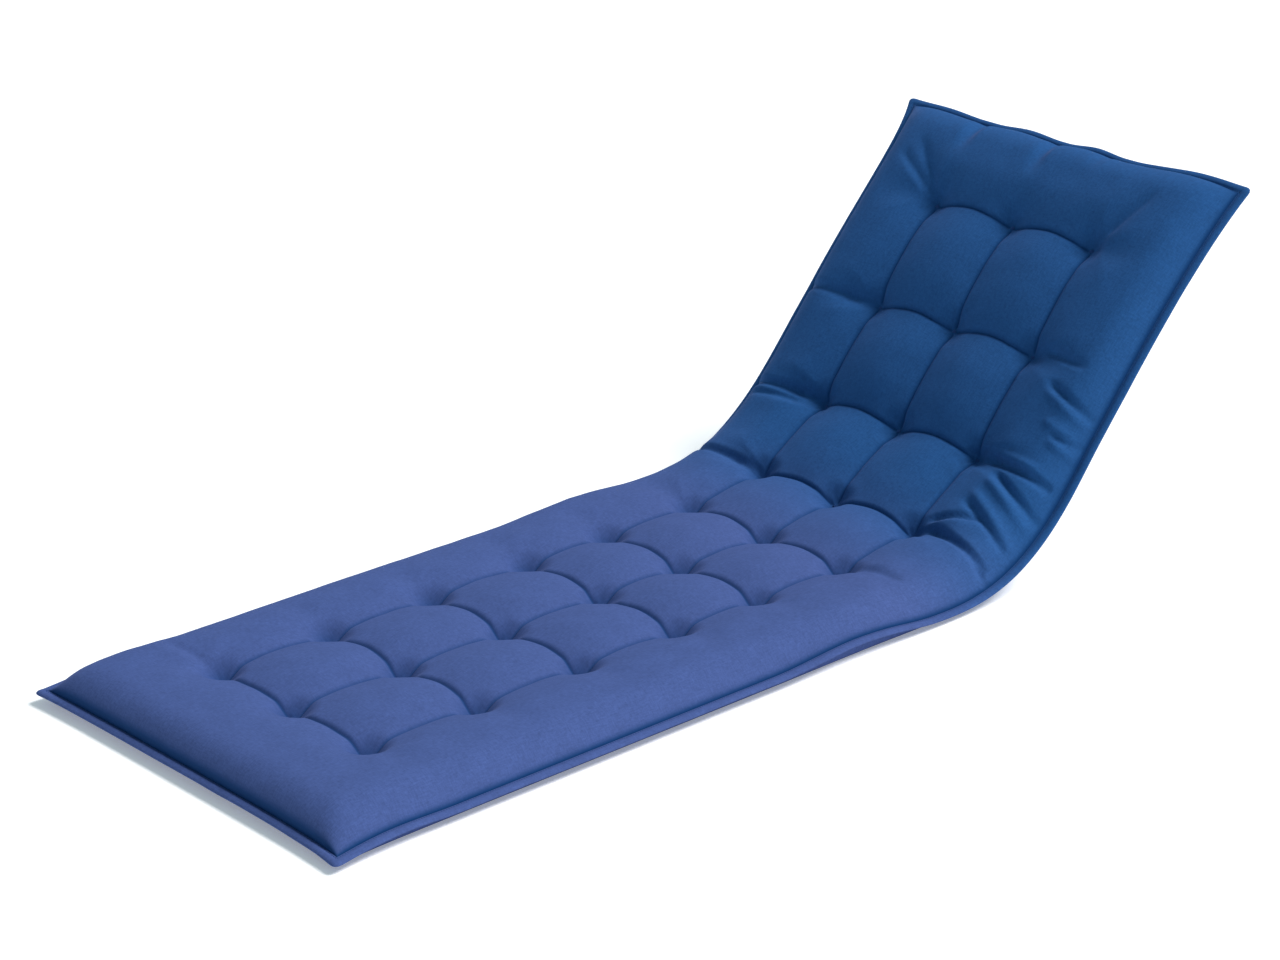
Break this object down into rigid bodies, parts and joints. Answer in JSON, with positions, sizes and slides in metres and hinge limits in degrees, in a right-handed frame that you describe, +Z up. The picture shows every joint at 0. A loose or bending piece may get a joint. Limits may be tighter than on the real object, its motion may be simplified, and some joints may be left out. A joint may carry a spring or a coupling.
{
  "type": "sun lounger cushion",
  "caption": "Tufted one-piece outdoor lounger pad with a flat sewn edge, lying flat at the seat and bent up over the back.",
  "frame": {"origin": "middle of the footprint of the whole cushion, on the surface it rests on", "axes": "+X along the cushion from the foot end to the head end, +Y across it, +Z up"},
  "size_m": [1.8098, 0.732, 0.5473],
  "materials": {
    "pad_cloth": "matt woven outdoor cloth, faintly heathered mid blue",
    "flange_cloth": "the same cloth in a flat stitched double layer"
  },
  "bodies": {
    "root": {"pad": "pad_cloth", "edge_flange": "flange_cloth"}
  },
  "joints": []
}
